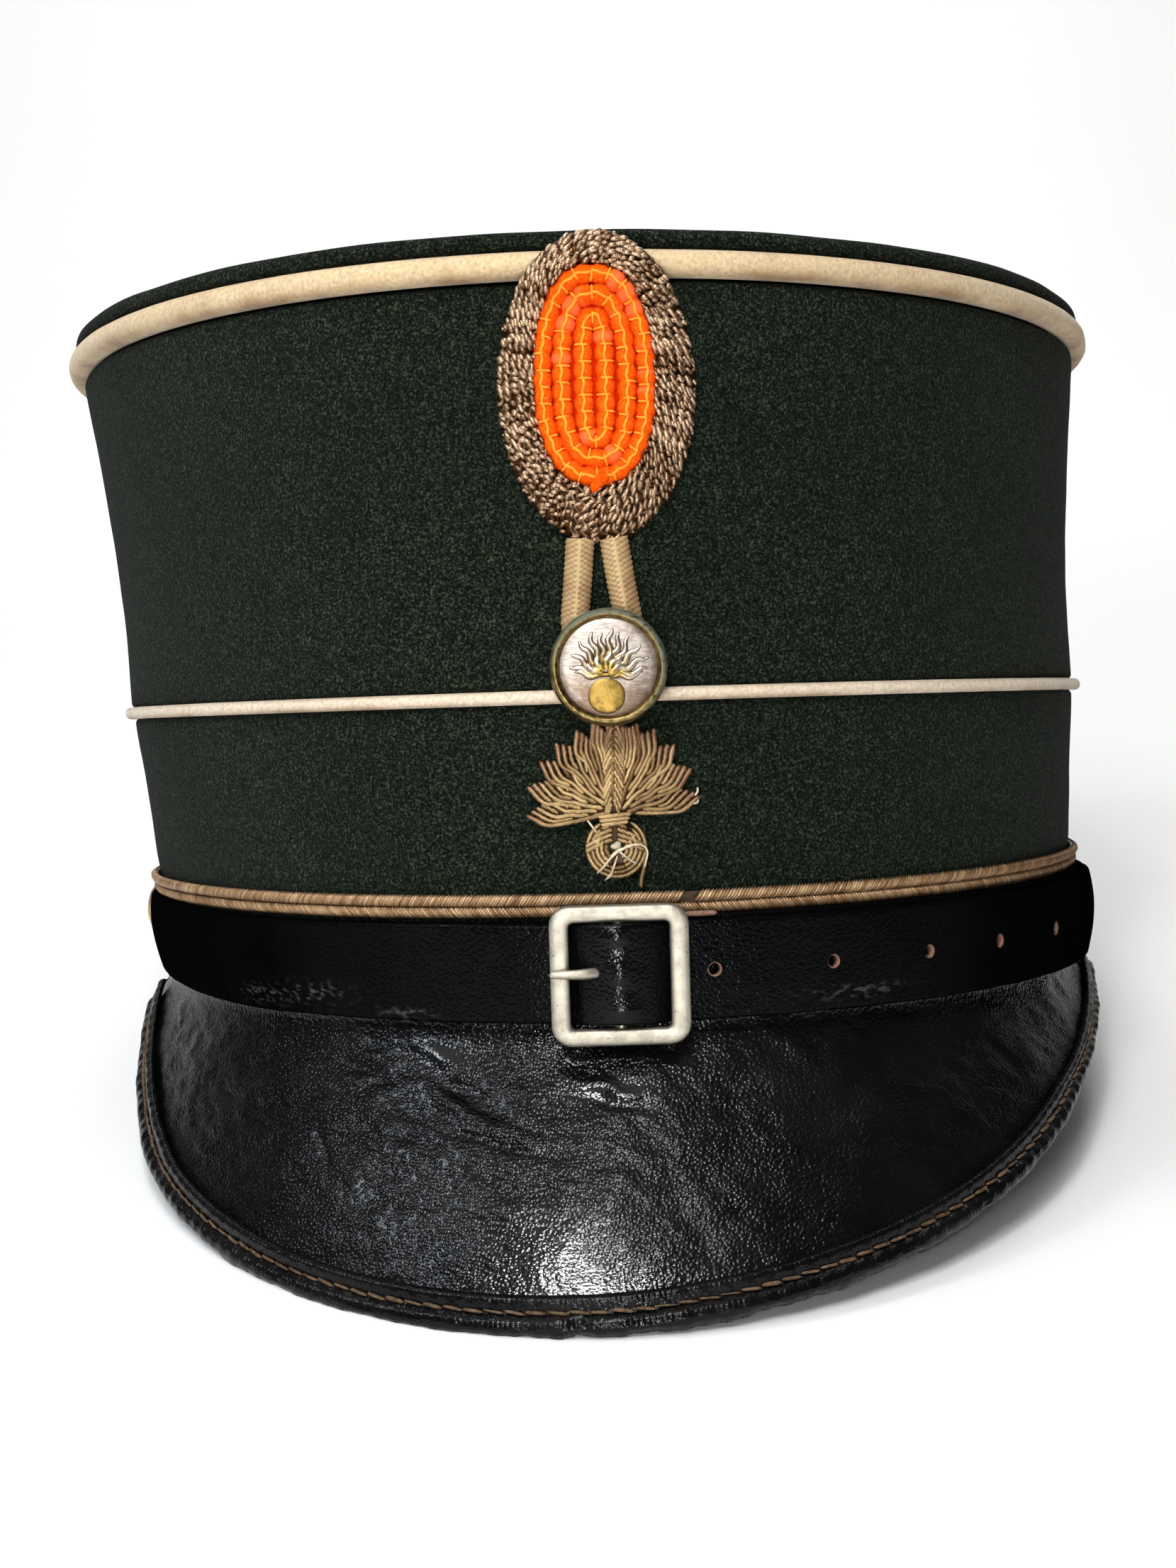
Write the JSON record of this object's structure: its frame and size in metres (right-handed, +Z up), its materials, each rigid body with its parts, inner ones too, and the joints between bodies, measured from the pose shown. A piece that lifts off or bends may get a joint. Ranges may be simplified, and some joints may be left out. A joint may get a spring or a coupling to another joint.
{
  "type": "kepi",
  "caption": "Stiff flat-topped cloth kepi with cream piping, a curved leather peak, a buckled chin strap, an oval cockade with loop and button, and an embroidered grenade badge.",
  "frame": {"origin": "bottom centre of the kepi's box as it rests on its peak and rear rim", "axes": "+Z up, -Y the front with the peak, +X the viewer's right when facing the front"},
  "size_m": [0.188, 0.2584, 0.1468],
  "materials": {
    "cloth": "dark green wool cloth with a short nap",
    "piping": "cream wool cord",
    "braid": "dull gold flat braid",
    "leather": "glossy black leather, creased",
    "binding": "glossy black leather strip with tan stitching",
    "strap": "glossy black strap leather with brown raw edges",
    "bullion": "tarnished twisted metal thread",
    "orange": "orange couched cord",
    "nickel": "worn warm nickel",
    "button": "silvered face in a brass rim with green patina",
    "brass": "dull brass"
  },
  "bodies": {
    "root": {"band": "cloth", "crown_side": "cloth", "crown_top": "cloth", "band_piping": "piping", "top_piping": "piping", "base_braid": "braid", "peak": "leather", "peak_binding": "binding", "strap_long": "strap", "strap_short": "strap", "buckle_frame": "nickel", "buckle_prong": "nickel", "cockade_ring": "bullion", "cockade_centre": "orange", "cockade_loop": "braid", "front_button": "button", "grenade_badge": "bullion", "side_button_left": "brass", "side_button_right": "brass"}
  },
  "joints": []
}
